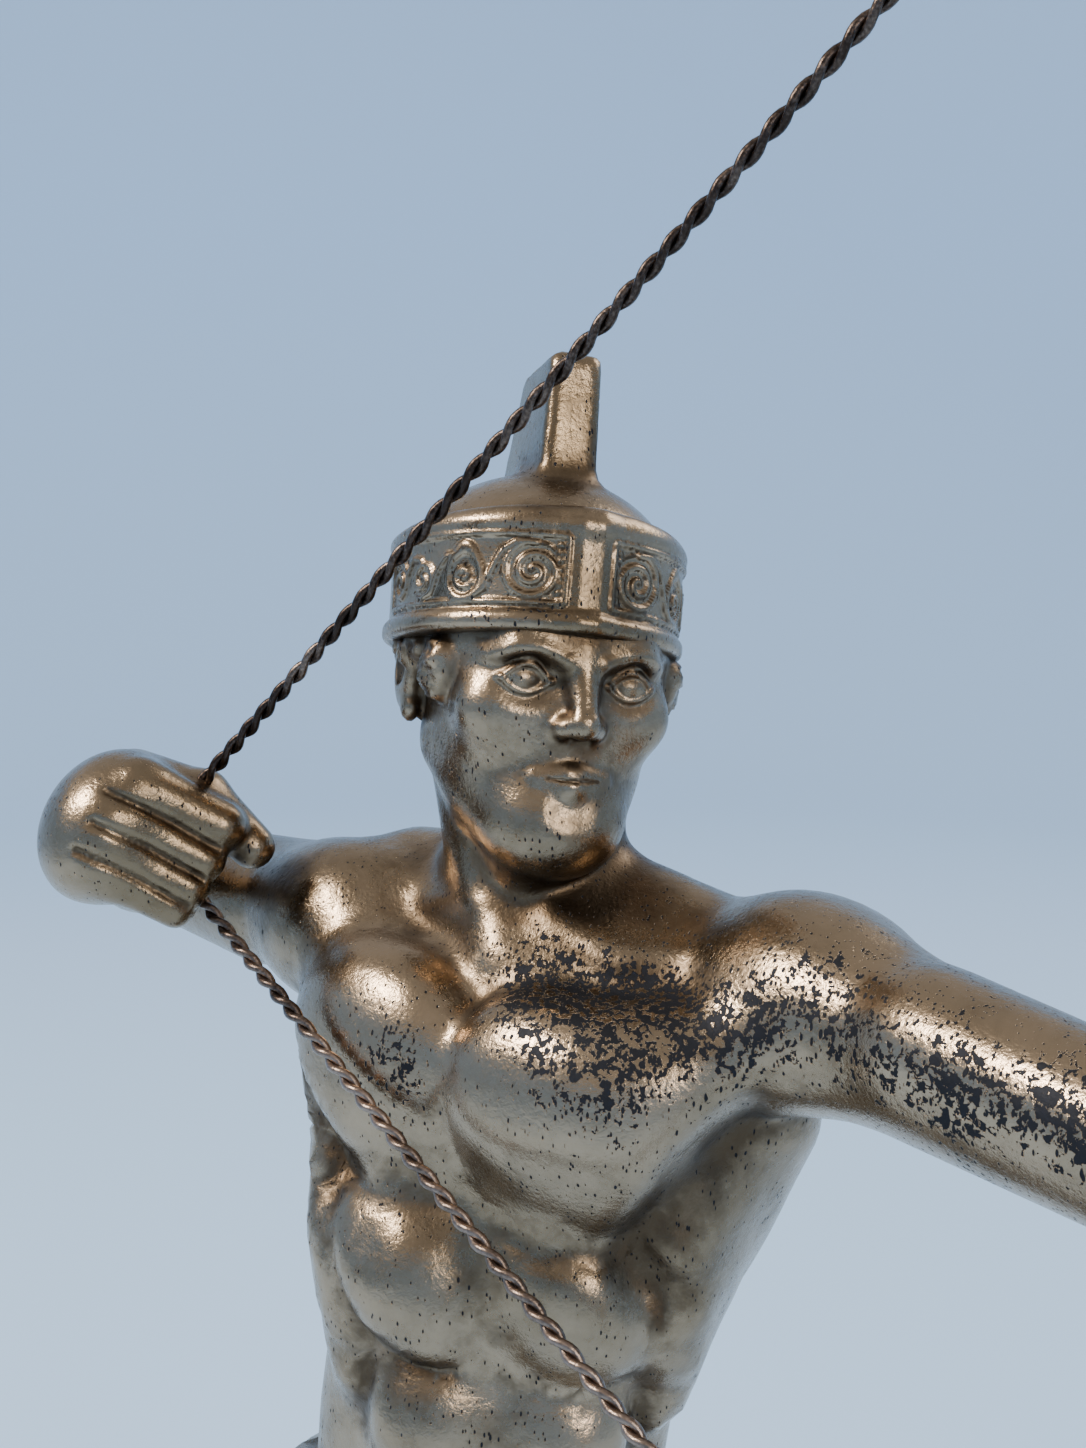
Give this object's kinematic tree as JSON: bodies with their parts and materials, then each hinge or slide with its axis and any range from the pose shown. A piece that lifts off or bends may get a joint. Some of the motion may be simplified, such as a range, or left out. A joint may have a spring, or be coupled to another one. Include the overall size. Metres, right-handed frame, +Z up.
{
  "type": "archer statue",
  "caption": "Cast metal statuette of a helmeted archer drawing a bow with a twisted wire string, on a low plinth.",
  "frame": {"origin": "centre of the plinth's underside", "axes": "+Z up, -Y the way the chest faces, +X the way the bow is aimed"},
  "size_m": [0.2828, 0.104, 0.4901],
  "materials": {
    "silvered_metal": "silvered cast metal, worn and pitted, brown tarnish in the recesses",
    "bow_metal": "silvered cast metal, tarnished brown",
    "twisted_wire": "dark brown oxidised copper wire, two strands twisted",
    "base_metal": "cast metal with a dark brown patina"
  },
  "bodies": {
    "root": {"figure": "silvered_metal", "bow": "bow_metal", "bowstring": "twisted_wire", "base": "base_metal"}
  },
  "joints": []
}
